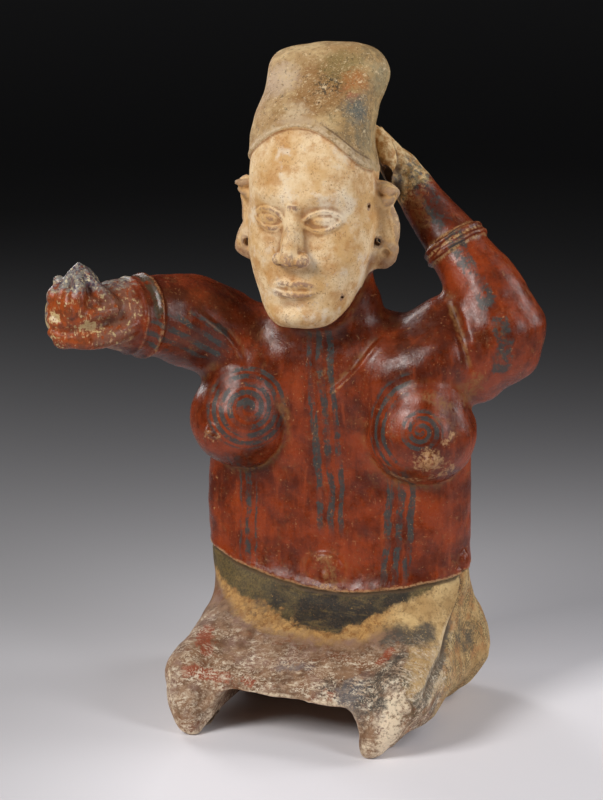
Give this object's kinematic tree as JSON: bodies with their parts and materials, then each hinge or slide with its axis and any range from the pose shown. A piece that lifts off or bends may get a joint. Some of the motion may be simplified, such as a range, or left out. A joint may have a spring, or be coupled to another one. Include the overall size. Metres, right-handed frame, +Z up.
{
  "type": "seated figure",
  "caption": "Hollow fired-clay figure of a seated woman in a tall cap, one arm stretched out and one hand laid behind her head.",
  "frame": {"origin": "floor level, under the middle of the torso, on the flat underside of the rear of the base", "axes": "+Z up, -Y the way the figure faces, +X towards its own left side"},
  "size_m": [0.3452, 0.2023, 0.5],
  "materials": {
    "fired_clay": "burnished slip"
  },
  "bodies": {
    "root": {"seated_figure": "fired_clay"}
  },
  "joints": []
}
